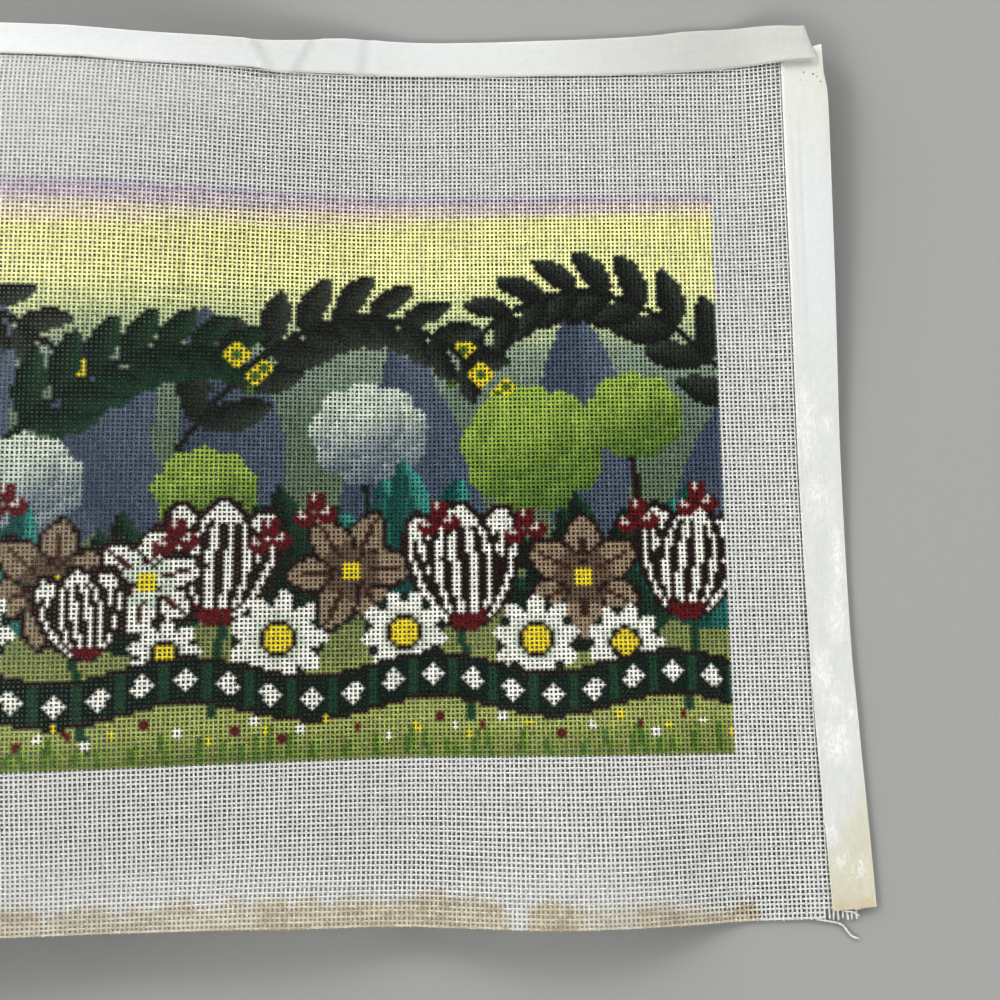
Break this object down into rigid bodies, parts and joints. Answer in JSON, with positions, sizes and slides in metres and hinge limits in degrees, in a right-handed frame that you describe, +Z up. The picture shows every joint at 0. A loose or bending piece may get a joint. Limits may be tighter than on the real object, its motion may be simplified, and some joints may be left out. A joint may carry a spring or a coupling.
{
  "type": "needlepoint canvas panel",
  "caption": "Flat painted needlepoint canvas of open mono weave, with white tape folded over its top and side edges and a raw bottom edge.",
  "frame": {"origin": "middle of the panel's base, on the surface that it lies on", "axes": "+X to the picture's right along the wefts, +Y towards the picture's top along the warps, +Z up off the painted face"},
  "size_m": [0.3886, 0.3046, 0.0261],
  "materials": {
    "canvas": "sized cotton weave, partly painted",
    "tape": "smooth white cloth tape"
  },
  "bodies": {
    "root": {"canvas": "canvas", "loose_thread": "canvas", "tape_left": "tape", "tape_right": "tape", "tape_top": "tape"}
  },
  "joints": []
}
